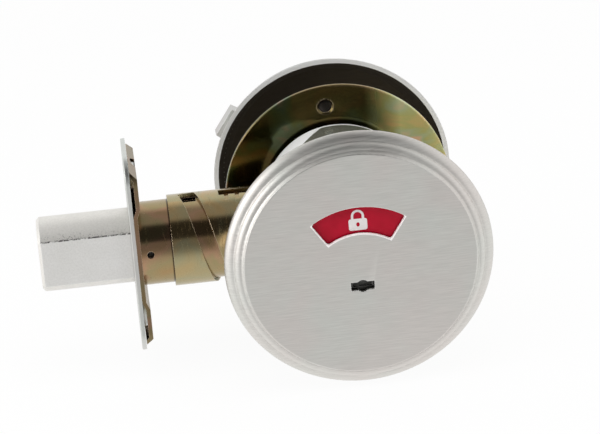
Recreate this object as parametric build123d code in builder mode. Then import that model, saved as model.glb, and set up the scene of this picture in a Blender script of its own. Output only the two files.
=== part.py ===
from build123d import *
import os
from math import cos, radians, sin, sqrt, tan

os.makedirs("parts", exist_ok=True)

# Indicator deadbolt, in millimetres. The origin is the centre of the faceplate's front face, on the
# bolt's axis. +X goes into the door, +Y to the thumbturn's side and +Z up. The bolt is thrown.

# Driving sizes of the whole lock
backset = 60.3
bolt_throw = 25.4
door_thickness = 44.45
spindle_drop = 6.35
thumbturn_travel = 90.0

# Clearances
running_clearance = 0.08
loose_clearance = 0.35
seat_gap = 0.2
pin_fit = 0.03
groove_fit = 0.05
end_play = 0.3
cut_past = 1.0

# Faceplate and the plate behind it
faceplate_height = 57.15
faceplate_width = 25.4
faceplate_corner = 6.35
faceplate_thickness = 1.2
faceplate_edge_round = 0.3
screw_spacing = 41.3
screw_hole_radius = 2.4
sink_radius = 4.5
sink_half_angle = 41.0
screw_hole_land = 0.5
dimple_wall = 0.9
backing_inset = 0.3
backing_thickness = 1.15
backing_joggle = 0.9
joggle_past_barrel = 1.05
joggle_run = 2.2
curl_past_screw = 2.55
curl_angle = 45.0
curl_gap = 0.15
backing_hole_margin = 0.1

# Bolt
bolt_radius = 10.3
bolt_width = 15.9
bolt_end_chamfer = 0.8
bolt_body_behind_face = 5.0
shank_radius = 8.4
shank_wall = 1.6
shank_end = 22.5
guard_rod_radius = 2.2
guard_rod_offset = 3.6
guard_rod_length = 24.0

# Front barrel and rear case
tube_wall = 0.9
tube_end = 35.0
sleeve_wall = 1.0
sleeve_start = 11.0
sleeve_end_gap = 0.9
case_half_width = 5.6
case_wall = 1.2
case_end_gap = 0.45
case_corner = 0.8

# Backset adjuster: half a turn of the front barrel moves it along the helix
adjust_travel = 9.525
adjust_turn = 180.0
helix_top_x = 16.7
helix_width = 4.66
helix_first_angle = -10.0
helix_last_angle = 228.0
follower_angle = 200.0
follower_radius = 2.2
window_length = 4.2
window_width = 3.2
pin_hole_radius = 1.0
pin_hole_x = 4.9
pin_hole_angle = 85.0

# Guide bush behind the front barrel
guide_length = 2.3
guide_spigot_length = 2.8
guide_bore_radius = 8.8
guide_tab_width = 2.8
guide_slot_start = 25.2
guide_slot_end = 38.2
guide_slot_notch = 1.2
guide_slot_notch_depth = 2.2
guide_slot_notch_step = 2.0
guide_slot_notch_pitch = 3.0
guide_rim_inset = 0.25

# Draw bar, crank and cam
bar_thickness = 2.4
bar_bottom = 1.0
bar_height = 3.0
lug_top = 11.0
lug_length = 2.3
draw_head_radius = 6.3
draw_head_length = 5.0
draw_pin_x = 9.0
draw_pin_radius = 1.5
draw_pin_slot_clearance = 0.26
draw_pin_slot_margin = 16.0
crank_pin_radius = 1.75
crank_slot_play = 0.7
crank_pin_overhang = 0.4
cam_journal_step = 0.4
cam_arm_radius = 2.9
top_window_front_margin = 1.8
top_window_back_margin = 3.6

# Tailpiece
tailpiece_width = 6.0
tailpiece_thickness = 2.0
tailpiece_clearance = 0.1
tailpiece_chamfer = 0.3
tailpiece_front_gap = 1.6
tailpiece_back_gap = 3.0

# Bead round the front disc and round the inside cover: a small step and two round bands
face_edge_round = 0.35
face_step_width = 0.4
face_step_depth = 1.0
inner_band_width = 2.0
inner_band_depth = 2.6
outer_band_width = 2.5
outer_band_depth = 4.7
band_bulge = 0.5
bead_back_width = 0.9
bead_back_depth = 3.2
inner_corner = 0.6

# Front disc
front_rose_radius = 36.5
front_rose_height = 8.8
front_skirt_taper = 0.4
rose_wall = 1.2
window_height = 7.7
window_edge = 1.2
window_half_angle = 34.0
window_corner = 0.9
slot_width = 6.4
slot_height = 2.4
slot_centre_radius = 1.75

# Indicator
indicator_edge_gap = 0.65
indicator_thickness = 0.8
label_thickness = 0.2
label_margin = 0.5
label_half_angle = 37.0
indicator_gap = 0.3
plug_head_radius = 4.4
plug_shoulder_radius = 6.5
plug_journal_radius = 4.0
plug_slot_width = 5.4
plug_slot_height = 1.4
plug_slot_depth = 0.7
plug_shoulder_gap = 0.15
plug_end_length = 1.2
clip_thickness = 0.8
clip_width = 1.7

# Housing between the front disc and the inside of the door
housing_radius = 21.4
housing_wall = 1.5
flange_lap = 1.0
flange_thickness = 2.0
flange_behind_face = 3.6
case_opening_clearance = 0.6
mount_screw_offset = 17.2
mount_screw_radius = 1.95
boss_radius = 3.6
boss_end_y = -2.0
screw_engagement = 7.5
hub_gap = 2.1
hub_end_round = 0.5

# Support plate
support_radius = 32.2
support_thickness = 1.3
support_centre_hole = 8.5
support_screw_fit = 0.1
support_edge_round = 0.3
support_tapped_radius = 1.9
support_tapped_offset = 26.1
support_tapped_turn = 4.4
support_tapped_chamfer = 0.5

# Inside cover and thumbturn. The photo's cover stands off the support plate on its screws.
cover_standoff = 16.3
cover_radius = 34.3
cover_height = 9.2
cover_wall = 1.4
screw_head_radius = 3.4
screw_head_fit = 0.25
screw_head_sink = 0.1
screw_slot_width = 0.9
screw_slot_depth = 0.7
screw_seat_radius = 4.2
screw_seat_thickness = 1.0
thumbturn_gap = 0.4
thumbturn_hub_radius = 9.0
thumbturn_hub_sink = 0.5
thumbturn_shaft_radius = 4.5
thumbturn_shaft_reach = 3.0
thumbturn_lever_length = 36.0
thumbturn_lever_start = 2.0
thumbturn_lever_thickness = 6.0
thumbturn_root_radius = 7.5
thumbturn_tip_width = 9.0
thumbturn_rest_angle = 35.0
thumbturn_bevel = 1.4
washer_radius = 6.4
washer_thickness = 0.6

# Values worked out from the driving sizes
faceplate_back = faceplate_thickness
tube_radius = bolt_radius + loose_clearance + tube_wall
tube_inner_radius = tube_radius - tube_wall
sleeve_inner_radius = tube_radius + running_clearance
sleeve_radius = sleeve_inner_radius + sleeve_wall
shank_inner_radius = shank_radius - shank_wall
case_inner_half_width = case_half_width - case_wall
case_inner_radius = sleeve_radius - case_wall
sleeve_end = shank_end + bolt_throw + case_wall + sleeve_end_gap
advance_per_degree = adjust_travel / adjust_turn
follower_x = helix_top_x + advance_per_degree * follower_angle
crank_radius = bolt_throw / 2 / sin(radians(thumbturn_travel / 2))
crank_rise = crank_radius * cos(radians(thumbturn_travel / 2))
crank_x = backset - bolt_throw / 2
crank_z = crank_rise - spindle_drop
notch_half = crank_pin_radius + crank_slot_play
case_end = crank_x + bolt_throw + notch_half + lug_length + case_end_gap + case_wall
top_window_start = crank_x - top_window_front_margin
top_window_end = crank_x + bolt_throw + top_window_back_margin
cam_half = case_inner_half_width - loose_clearance
cam_arm_offset = bar_thickness / 2 + seat_gap
cam_radius = sqrt(case_inner_radius**2 - cam_half**2) - spindle_drop - running_clearance
cam_journal_radius = cam_radius - cam_journal_step
tail_hole = (tailpiece_width + 2 * tailpiece_clearance, tailpiece_thickness + 2 * tailpiece_clearance)
outer_door_y = -door_thickness / 2
inner_door_y = door_thickness / 2
front_face_y = outer_door_y - front_rose_height
front_inner_y = front_face_y + rose_wall
bead_width = face_step_width + inner_band_width + outer_band_width
front_face_radius = front_rose_radius - bead_width
indicator_radius = front_face_radius - inner_corner - spindle_drop - indicator_edge_gap
window_outer_radius = indicator_radius - window_edge
window_inner_radius = window_outer_radius - window_height
flange_radius = front_face_radius + flange_lap
label_y = front_inner_y + indicator_gap
indicator_y = label_y + label_thickness
indicator_back_y = indicator_y + indicator_thickness
flange_y = front_face_y + flange_behind_face
flange_back_y = flange_y + flange_thickness
plug_end_y = flange_back_y + clip_thickness + plug_end_length
housing_end_y = inner_door_y - hub_gap
cover_rim_y = inner_door_y + cover_standoff
cover_face_y = cover_rim_y + cover_height
cover_inner_y = cover_face_y - cover_wall
lever_y = cover_face_y + thumbturn_lever_start
lever_back_y = lever_y + thumbturn_lever_thickness
tailpiece_front_y = indicator_back_y + tailpiece_front_gap
tailpiece_back_y = lever_back_y - tailpiece_back_gap
spindle = (backset, -spindle_drop)


def facing_y(y):
    """Sketch plane at this Y whose x is +X, whose y is +Z and which looks towards the viewer."""
    return Plane(origin=(0, y, 0), x_dir=(1, 0, 0), z_dir=(0, -1, 0))


def trim_profile_plane():
    """Plane for trim outlines: x is the distance from the trim's axis, y is measured along +Y."""
    return Plane(origin=(backset, 0, 0), x_dir=(1, 0, 0), z_dir=(0, 0, 1))


def trim_axis():
    return Axis((backset, 0, 0), (0, 1, 0))


def around_x(x, radius, angle):
    """Point on the barrel: the angle runs from the top towards the viewer's side."""
    return (x, -radius * sin(radians(angle)), radius * cos(radians(angle)))


def outward_x(angle):
    return (0, -sin(radians(angle)), cos(radians(angle)))


def beaded_outline(outer_radius, rim_radius, face_y, rim_y, wall):
    """Half section of a beaded cup, drawn from its axis: face, step, two bands, skirt and inside."""
    inward = 1 if rim_y > face_y else -1
    face_radius = outer_radius - bead_width
    groove_radius = outer_radius - outer_band_width

    def at(radius, depth):
        return (radius, face_y + inward * depth)

    Line(at(0, 0), at(face_radius - face_edge_round, 0))
    RadiusArc(
        at(face_radius - face_edge_round, 0), at(face_radius, face_edge_round), -inward * face_edge_round
    )
    Line(at(face_radius, face_edge_round), at(face_radius + face_step_width, face_step_depth))
    SagittaArc(
        at(face_radius + face_step_width, face_step_depth),
        at(groove_radius, inner_band_depth),
        -inward * band_bulge,
    )
    SagittaArc(at(groove_radius, inner_band_depth), at(outer_radius, outer_band_depth), -inward * band_bulge)
    Polyline(
        at(outer_radius, outer_band_depth),
        (rim_radius, rim_y),
        (rim_radius - wall, rim_y),
        at(rim_radius - wall, outer_band_depth),
        at(face_radius + bead_back_width, bead_back_depth),
        at(face_radius - inner_corner, wall),
        at(0, wall),
        at(0, 0),
    )


def finish(part, label):
    part.label = label
    export_step(part, "parts/" + label + ".step")
    print(label, round(part.volume, 1), "mm3,", len(part.solids()), "solids, valid", part.is_valid)


def helical_cutter(first_x, first_angle, last_angle, radius, depth, width):
    """Solid that cuts a helical slot in a barrel about X, with a lead set by the adjuster."""
    turn = last_angle - first_angle
    with BuildPart() as cutter:
        with BuildLine() as path:
            Helix(
                pitch=advance_per_degree * 360,
                height=advance_per_degree * turn,
                radius=radius,
                center=(first_x, 0, 0),
                direction=(1, 0, 0),
            )
        start = path.line @ 0
        section = Plane(origin=start, x_dir=(0, start.Y, start.Z), z_dir=path.line % 0)
        with BuildSketch(section):
            Rectangle(depth, width)
        sweep(is_frenet=True)
    found_angle = Vector(0, start.Y, start.Z).get_signed_angle(Vector(0, 0, 1), Vector(-1, 0, 0))
    return cutter.part.rotate(Axis.X, first_angle - found_angle)


# Faceplate: the countersinks are pressed, so each stands out behind as a dimple
sink_slope = tan(radians(sink_half_angle))
sink_depth = (sink_radius - screw_hole_radius) / sink_slope
dimple_depth = sink_depth + screw_hole_land
dimple_foot_radius = sink_radius - faceplate_thickness * sink_slope + dimple_wall
with BuildPart() as faceplate:
    with BuildSketch(Plane.YZ):
        RectangleRounded(faceplate_width, faceplate_height, faceplate_corner)
    extrude(amount=faceplate_thickness)
    front_edges = faceplate.faces().sort_by(Axis.X)[0].edges()
    fillet(front_edges, faceplate_edge_round)
    for side in (1, -1):
        dimple_plane = Plane(
            origin=(0, 0, side * screw_spacing / 2), x_dir=(1, 0, 0), z_dir=(0, 1, 0)
        )
        with BuildSketch(dimple_plane):
            with BuildLine():
                Polyline(
                    (faceplate_thickness / 2, 0),
                    (faceplate_thickness / 2, dimple_foot_radius),
                    (faceplate_thickness, dimple_foot_radius),
                    (sink_depth, screw_hole_radius + dimple_wall),
                    (dimple_depth, screw_hole_radius + dimple_wall),
                    (dimple_depth, 0),
                    close=True,
                )
            make_face()
        revolve(axis=Axis((0, 0, side * screw_spacing / 2), (1, 0, 0)))
        with BuildSketch(dimple_plane):
            with BuildLine():
                Polyline(
                    (0, 0),
                    (0, sink_radius),
                    (sink_depth, screw_hole_radius),
                    (dimple_depth + cut_past, screw_hole_radius),
                    (dimple_depth + cut_past, 0),
                    close=True,
                )
            make_face()
        revolve(axis=Axis((0, 0, side * screw_spacing / 2), (1, 0, 0)), mode=Mode.SUBTRACT)
    with BuildSketch(Plane.YZ):
        Circle(bolt_radius + loose_clearance)
        Rectangle(bolt_width + 2 * loose_clearance, faceplate_height, mode=Mode.INTERSECT)
    extrude(amount=faceplate_thickness, mode=Mode.SUBTRACT)
finish(faceplate.part, "faceplate")

# Backing plate: flat round the barrel, stepped away from the dimples, bent back at its ends
joggle_start = tube_radius + joggle_past_barrel
step_end = joggle_start + joggle_run
curl_start = screw_spacing / 2 + curl_past_screw
joggled_x = faceplate_back + backing_joggle
curl_x = faceplate_back + curl_gap
curl_slope = tan(radians(curl_angle))
curl_back_start = curl_start + backing_thickness * tan(radians(curl_angle / 2))
backing_hole_radius = dimple_foot_radius - curl_gap * sink_slope + backing_hole_margin
with BuildPart() as backing_plate:
    with BuildSketch(Plane.XZ):
        with BuildLine():
            Polyline(
                (faceplate_back, 0),
                (faceplate_back, joggle_start),
                (joggled_x, step_end),
                (joggled_x, curl_start),
                (curl_x, curl_start + (joggled_x - curl_x) / curl_slope),
                (curl_x, curl_back_start + (joggled_x + backing_thickness - curl_x) / curl_slope),
                (joggled_x + backing_thickness, curl_back_start),
                (joggled_x + backing_thickness, step_end),
                (faceplate_back + backing_thickness, joggle_start),
                (faceplate_back + backing_thickness, 0),
                close=True,
            )
        make_face()
    extrude(amount=faceplate_width / 2, both=True)
    mirror(about=Plane.XY)
    with BuildSketch(Plane.YZ):
        RectangleRounded(
            faceplate_width - 2 * backing_inset, faceplate_height - 2 * backing_inset, faceplate_corner
        )
    extrude(amount=joggled_x + backing_thickness + cut_past, mode=Mode.INTERSECT)
    with BuildSketch(Plane.YZ):
        Circle(tube_radius + seat_gap)
        with Locations((0, screw_spacing / 2), (0, -screw_spacing / 2)):
            Circle(backing_hole_radius)
    extrude(amount=joggled_x + backing_thickness + cut_past, mode=Mode.SUBTRACT)
finish(backing_plate.part, "backing_plate")

# Bolt: round top and bottom, flat sides, with a hollow shank that the draw bar works in
with BuildPart() as bolt_head:
    with BuildSketch(Plane.YZ.offset(-bolt_throw)):
        Circle(bolt_radius)
        Rectangle(bolt_width, 2 * bolt_radius, mode=Mode.INTERSECT)
    extrude(amount=bolt_throw + bolt_body_behind_face)
    chamfer(bolt_head.faces().sort_by(Axis.X)[0].edges(), bolt_end_chamfer)
    with BuildSketch(Plane.YZ.offset(bolt_body_behind_face)):
        Circle(shank_radius)
        Rectangle(bolt_width, 2 * shank_radius, mode=Mode.INTERSECT)
        Circle(shank_inner_radius, mode=Mode.SUBTRACT)
    extrude(amount=shank_end - bolt_body_behind_face)
    with BuildSketch(Plane.YZ.offset(bolt_body_behind_face)):
        with Locations((guard_rod_offset, 0), (-guard_rod_offset, 0)):
            Circle(guard_rod_radius + running_clearance)
    extrude(amount=-guard_rod_length - seat_gap, mode=Mode.SUBTRACT)
    shank_cutter = helical_cutter(
        draw_pin_x - advance_per_degree * draw_pin_slot_margin,
        -draw_pin_slot_margin,
        adjust_turn + draw_pin_slot_margin,
        (shank_radius + shank_inner_radius) / 2,
        3 * shank_wall,
        2 * (draw_pin_radius + draw_pin_slot_clearance),
    )
    add(shank_cutter, mode=Mode.SUBTRACT)
finish(bolt_head.part, "bolt_head")

# Hardened rods that turn under a saw
with BuildPart() as saw_guard_pins:
    with BuildSketch(Plane.YZ.offset(bolt_body_behind_face - guard_rod_length)):
        with Locations((guard_rod_offset, 0), (-guard_rod_offset, 0)):
            Circle(guard_rod_radius)
    extrude(amount=guard_rod_length)
finish(saw_guard_pins.part, "saw_guard_pins")

# Front barrel, with the pressed follower that runs in the helical slot
with BuildPart() as front_tube:
    with BuildSketch(Plane.YZ.offset(faceplate_back)):
        Circle(tube_radius)
    extrude(amount=tube_end - faceplate_back)
    follower_plane = Plane(
        origin=around_x(follower_x, 0, follower_angle), x_dir=(1, 0, 0), z_dir=outward_x(follower_angle)
    )
    with BuildSketch(follower_plane):
        Circle(follower_radius)
    extrude(amount=sleeve_radius)
    with BuildSketch(Plane.YZ.offset(faceplate_back)):
        Circle(tube_inner_radius)
    extrude(amount=tube_end - faceplate_back, mode=Mode.SUBTRACT)
    with BuildSketch(Plane.XY):
        with Locations((helix_top_x, 0)):
            Rectangle(window_length, window_width)
    extrude(amount=tube_radius + cut_past, mode=Mode.SUBTRACT)
    hole_plane = Plane(origin=(pin_hole_x, 0, 0), x_dir=(1, 0, 0), z_dir=outward_x(pin_hole_angle))
    with BuildSketch(hole_plane):
        Circle(pin_hole_radius)
    extrude(amount=tube_radius + cut_past, mode=Mode.SUBTRACT)
finish(front_tube.part, "front_tube")

# Rear case: round sleeve with the helical slot in front, flat sided tail round the cam behind
with BuildPart() as rear_case:
    with BuildSketch(Plane.YZ.offset(sleeve_start)):
        Circle(sleeve_radius)
    extrude(amount=sleeve_end - sleeve_start)
    with BuildSketch(Plane.YZ.offset(sleeve_start)):
        Circle(sleeve_inner_radius)
    extrude(amount=sleeve_end - case_wall - sleeve_start, mode=Mode.SUBTRACT)
    sleeve_cutter = helical_cutter(
        helix_top_x + advance_per_degree * helix_first_angle,
        helix_first_angle,
        helix_last_angle,
        (sleeve_radius + sleeve_inner_radius) / 2,
        3 * sleeve_wall,
        helix_width,
    )
    add(sleeve_cutter, mode=Mode.SUBTRACT)
    with BuildSketch(Plane.YZ.offset(sleeve_end)) as tail:
        Circle(sleeve_radius)
        Rectangle(2 * case_half_width, 2 * sleeve_radius, mode=Mode.INTERSECT)
        fillet(tail.vertices(), case_corner)
    extrude(amount=case_end - sleeve_end)
    with BuildSketch(Plane.YZ.offset(sleeve_end - case_wall)):
        Circle(case_inner_radius)
        Rectangle(2 * case_inner_half_width, 2 * case_inner_radius, mode=Mode.INTERSECT)
    extrude(amount=case_end - sleeve_end, mode=Mode.SUBTRACT)
    with BuildSketch(Plane.XY):
        with Locations(((guide_slot_start + guide_slot_end) / 2, 0)):
            Rectangle(guide_slot_end - guide_slot_start, guide_tab_width + 2 * loose_clearance)
        notch_y = -guide_tab_width / 2 - loose_clearance - guide_slot_notch_depth / 2
        first_notch = guide_slot_start + guide_slot_notch_step
        with Locations((first_notch, notch_y), (first_notch + guide_slot_notch_pitch, notch_y)):
            Rectangle(guide_slot_notch, guide_slot_notch_depth + seat_gap)
    extrude(amount=sleeve_radius + cut_past, mode=Mode.SUBTRACT)
    with BuildSketch(Plane.XY):
        with Locations(((top_window_start + top_window_end) / 2, 0)):
            Rectangle(top_window_end - top_window_start, 2 * case_inner_half_width)
    extrude(amount=sleeve_radius + cut_past, mode=Mode.SUBTRACT)
    with BuildSketch(facing_y(0)):
        with Locations(spindle):
            Circle(cam_journal_radius + running_clearance)
    extrude(amount=case_half_width + cut_past, both=True, mode=Mode.SUBTRACT)
finish(rear_case.part, "rear_case")

# Guide bush: centres the shank behind the front barrel, and its tab keeps it from turning
guide_x = tube_end + end_play
with BuildPart() as tail_guide:
    with BuildSketch(Plane.YZ.offset(guide_x)):
        Circle(tube_radius - guide_rim_inset)
        with Locations((0, (guide_bore_radius + sleeve_radius) / 2)):
            Rectangle(guide_tab_width, sleeve_radius - guide_bore_radius)
    extrude(amount=guide_length)
    with BuildSketch(Plane.YZ.offset(guide_x)):
        Circle(tube_inner_radius - loose_clearance)
    extrude(amount=-guide_spigot_length)
    with BuildSketch(Plane.YZ.offset(guide_x - guide_spigot_length)):
        Circle(guide_bore_radius)
    extrude(amount=guide_spigot_length + guide_length, mode=Mode.SUBTRACT)
finish(tail_guide.part, "tail_guide")

# Draw bar: round head in the shank, strip over the cam and two lugs that straddle the crank pin
bar_end = crank_x + notch_half + lug_length
head_back = draw_pin_x + draw_head_length / 2
with BuildPart() as draw_bar:
    with BuildSketch(Plane.YZ.offset(draw_pin_x - draw_head_length / 2)):
        Circle(draw_head_radius)
    extrude(amount=draw_head_length)
    with BuildSketch(Plane.XZ):
        with BuildLine():
            Polyline(
                (head_back - cut_past, bar_bottom),
                (bar_end, bar_bottom),
                (bar_end, lug_top),
                (crank_x + notch_half, lug_top),
                (crank_x + notch_half, bar_bottom + bar_height),
                (crank_x - notch_half, bar_bottom + bar_height),
                (crank_x - notch_half, lug_top),
                (crank_x - notch_half - lug_length, lug_top),
                (crank_x - notch_half - lug_length, bar_bottom + bar_height),
                (head_back - cut_past, bar_bottom + bar_height),
                close=True,
            )
        make_face()
    extrude(amount=bar_thickness / 2, both=True)
    lug_edges = draw_bar.edges().filter_by(Axis.Y).group_by(Axis.Z)[-1]
    fillet(lug_edges, lug_length / 4)
    with BuildSketch(Plane.XY.offset(bar_bottom + bar_height)):
        with Locations((draw_pin_x, 0)):
            Circle(draw_pin_radius + pin_fit)
    extrude(amount=draw_head_radius, mode=Mode.SUBTRACT)
finish(draw_bar.part, "draw_bar")

# Pin from the draw bar's head into the shank's helical slot
with BuildPart() as draw_pin:
    with BuildSketch(Plane.XY.offset(bar_bottom + bar_height)):
        with Locations((draw_pin_x, 0)):
            Circle(draw_pin_radius)
    extrude(amount=shank_radius - bar_bottom - bar_height - running_clearance)
finish(draw_pin.part, "draw_pin")

# Cam: journals in the case's sides, and a crank arm that leans back at rest
journal_end = case_half_width + end_play
with BuildPart() as cam_hub:
    with BuildSketch(facing_y(-cam_half)):
        with Locations(spindle):
            Circle(cam_radius)
    extrude(amount=-2 * cam_half)
    with BuildSketch(facing_y(-journal_end)):
        with Locations(spindle):
            Circle(cam_journal_radius)
    extrude(amount=-2 * journal_end)
    with BuildSketch(facing_y(cam_arm_offset)):
        with Locations(spindle):
            Circle(cam_radius)
        with Locations((crank_x, crank_z)):
            Circle(cam_arm_radius)
        make_hull()
    extrude(amount=cam_arm_offset - cam_half)
    with BuildSketch(facing_y(0)):
        with Locations(spindle):
            Rectangle(*tail_hole)
    extrude(amount=journal_end + cut_past, both=True, mode=Mode.SUBTRACT)
    with BuildSketch(facing_y(0)):
        with Locations((crank_x, crank_z)):
            Circle(crank_pin_radius + pin_fit)
    extrude(amount=-cam_half, mode=Mode.SUBTRACT)
finish(cam_hub.part, "cam_hub")

with BuildPart() as crank_pin:
    with BuildSketch(facing_y(-bar_thickness / 2 - crank_pin_overhang)):
        with Locations((crank_x, crank_z)):
            Circle(crank_pin_radius)
    extrude(amount=-bar_thickness / 2 - crank_pin_overhang - cam_half)
finish(crank_pin.part, "crank_pin")

# Tailpiece: flat bar through the emergency plug, the cam and the thumbturn
with BuildPart() as tailpiece:
    with BuildSketch(facing_y(tailpiece_front_y)):
        with Locations(spindle):
            Rectangle(tailpiece_width, tailpiece_thickness)
    extrude(amount=tailpiece_front_y - tailpiece_back_y)
    chamfer(tailpiece.faces().sort_by(Axis.Y)[0].edges(), tailpiece_chamfer)
finish(tailpiece.part, "tailpiece")


def window_sketch(inner, outer, half_angle, middle_angle, corner):
    """Ring sector about the spindle; the middle angle is from +X towards +Z."""
    first = radians(middle_angle - half_angle)
    last = radians(middle_angle + half_angle)
    with BuildSketch(mode=Mode.PRIVATE) as sector:
        with BuildLine():
            CenterArc((0, 0), outer, middle_angle - half_angle, 2 * half_angle)
            Line((outer * cos(last), outer * sin(last)), (inner * cos(last), inner * sin(last)))
            CenterArc((0, 0), inner, middle_angle + half_angle, -2 * half_angle)
            Line((inner * cos(first), inner * sin(first)), (outer * cos(first), outer * sin(first)))
        make_face()
        fillet(sector.vertices(), corner)
    return sector.sketch


# Front disc: flat face, a step and two round bands round it, and a skirt down to the door
with BuildPart() as indicator_rose:
    with BuildSketch(trim_profile_plane()):
        with BuildLine():
            beaded_outline(
                front_rose_radius, front_rose_radius - front_skirt_taper, front_face_y, outer_door_y, rose_wall
            )
        make_face()
    revolve(axis=trim_axis())
    with BuildSketch(facing_y(front_face_y)):
        with Locations(spindle):
            add(
                window_sketch(
                    window_inner_radius,
                    window_outer_radius,
                    window_half_angle,
                    90,
                    window_corner,
                )
            )
            Rectangle(slot_width, slot_height)
            Circle(slot_centre_radius)
    extrude(amount=-rose_wall, mode=Mode.SUBTRACT)
finish(indicator_rose.part, "indicator_rose")

# Indicator disc and its two labels
with BuildPart() as indicator_disc:
    with BuildSketch(facing_y(indicator_y)):
        with Locations(spindle):
            Circle(indicator_radius)
            Circle(plug_head_radius + seat_gap / 2, mode=Mode.SUBTRACT)
    extrude(amount=-indicator_thickness)
finish(indicator_disc.part, "indicator_disc")

for name, angle in (("occupied_label", 90), ("vacant_label", 180)):
    with BuildPart() as label:
        with BuildSketch(facing_y(label_y)):
            with Locations(spindle):
                add(
                    window_sketch(
                        window_inner_radius - label_margin,
                        window_outer_radius + label_margin,
                        label_half_angle,
                        angle,
                        window_corner,
                    )
                )
        extrude(amount=-label_thickness)
    finish(label.part, name)

# Emergency plug: head in the indicator disc, shoulder behind it, journal in the housing
with BuildPart() as emergency_turn:
    with BuildSketch(facing_y(label_y)):
        with Locations(spindle):
            Circle(plug_head_radius)
    extrude(amount=label_y - indicator_back_y)
    with BuildSketch(facing_y(indicator_back_y)):
        with Locations(spindle):
            Circle(plug_shoulder_radius)
    extrude(amount=indicator_back_y - flange_y + plug_shoulder_gap)
    with BuildSketch(facing_y(indicator_back_y)):
        with Locations(spindle):
            Circle(plug_journal_radius)
    extrude(amount=indicator_back_y - plug_end_y)
    with BuildSketch(facing_y(label_y)):
        with Locations(spindle):
            Rectangle(plug_slot_width, plug_slot_height)
    extrude(amount=-plug_slot_depth, mode=Mode.SUBTRACT)
    with BuildSketch(facing_y(tailpiece_front_y - seat_gap)):
        with Locations(spindle):
            Rectangle(*tail_hole)
    extrude(amount=tailpiece_front_y - plug_end_y - cut_past, mode=Mode.SUBTRACT)
finish(emergency_turn.part, "emergency_turn")

with BuildPart() as emergency_clip:
    with BuildSketch(facing_y(flange_back_y + end_play)):
        with Locations(spindle):
            Circle(plug_journal_radius + clip_width)
            Circle(plug_journal_radius + groove_fit, mode=Mode.SUBTRACT)
        with Locations((backset, -spindle_drop - plug_journal_radius - clip_width / 2)):
            Rectangle(plug_journal_radius, clip_width + cut_past, mode=Mode.SUBTRACT)
    extrude(amount=-clip_thickness)
finish(emergency_clip.part, "emergency_clip")

# Housing: flange inside the front disc, round hub with a cross opening for the case, screw bosses
boss_places = [(backset, mount_screw_offset), (backset, -mount_screw_offset)]
opening_half = sleeve_radius + case_opening_clearance
with BuildPart() as outside_housing:
    with BuildSketch(facing_y(flange_y)):
        with Locations((backset, 0)):
            Circle(flange_radius)
    extrude(amount=-flange_thickness)
    with BuildSketch(facing_y(flange_back_y)):
        with Locations((backset, 0)):
            Circle(housing_radius)
            Circle(housing_radius - housing_wall, mode=Mode.SUBTRACT)
    extrude(amount=flange_back_y - housing_end_y)
    fillet(outside_housing.faces().sort_by(Axis.Y)[-1].edges(), hub_end_round)
    with BuildSketch(facing_y(flange_back_y)):
        with Locations(*boss_places):
            Circle(boss_radius)
    extrude(amount=flange_back_y - boss_end_y)
    with BuildSketch(facing_y(boss_end_y)):
        with Locations(*boss_places):
            Circle(mount_screw_radius + groove_fit)
    extrude(amount=screw_engagement + cut_past, mode=Mode.SUBTRACT)
    with BuildSketch(Plane.YZ.offset(backset)):
        Rectangle(2 * opening_half, 2 * opening_half)
    extrude(amount=housing_radius + cut_past, both=True, mode=Mode.SUBTRACT)
    with BuildSketch(facing_y(flange_y)):
        with Locations(spindle):
            Circle(plug_journal_radius + running_clearance)
    extrude(amount=-flange_thickness, mode=Mode.SUBTRACT)
finish(outside_housing.part, "outside_housing")

# Support plate: flat disc with close-fitting screw holes and two small tapped holes
tapped_x = -support_tapped_offset * sin(radians(support_tapped_turn))
tapped_z = support_tapped_offset * cos(radians(support_tapped_turn))
with BuildPart() as support_plate:
    with BuildSketch(facing_y(inner_door_y)):
        with Locations((backset, 0)):
            Circle(support_radius)
    extrude(amount=-support_thickness)
    fillet(support_plate.edges().filter_by(GeomType.CIRCLE), support_edge_round)
    with BuildSketch(facing_y(inner_door_y)):
        with Locations(*boss_places):
            Circle(mount_screw_radius + support_screw_fit)
        with Locations(spindle):
            Circle(support_centre_hole)
    extrude(amount=-support_thickness, mode=Mode.SUBTRACT)
    with Locations(facing_y(inner_door_y)):
        with Locations((backset + tapped_x, tapped_z), (backset - tapped_x, -tapped_z)):
            CounterSinkHole(
                radius=support_tapped_radius,
                counter_sink_radius=support_tapped_radius + support_tapped_chamfer,
                depth=support_thickness,
                counter_sink_angle=90,
            )
finish(support_plate.part, "support_plate")

# Inside cover: shallow cup whose rim faces the door
with BuildPart() as thumbturn_rose:
    with BuildSketch(trim_profile_plane()):
        with BuildLine():
            beaded_outline(cover_radius, cover_radius, cover_face_y, cover_rim_y, cover_wall)
        make_face()
    revolve(axis=trim_axis())
    with BuildSketch(facing_y(cover_inner_y)):
        with Locations(spindle):
            Circle(thumbturn_shaft_radius + running_clearance)
        with Locations(*boss_places):
            Circle(screw_head_radius + screw_head_fit)
    extrude(amount=-cover_wall, mode=Mode.SUBTRACT)
    with BuildSketch(facing_y(cover_inner_y - screw_seat_thickness)):
        with Locations(*boss_places):
            Circle(screw_seat_radius)
            Circle(mount_screw_radius + screw_head_fit, mode=Mode.SUBTRACT)
    extrude(amount=-screw_seat_thickness)
finish(thumbturn_rose.part, "thumbturn_rose")

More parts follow.
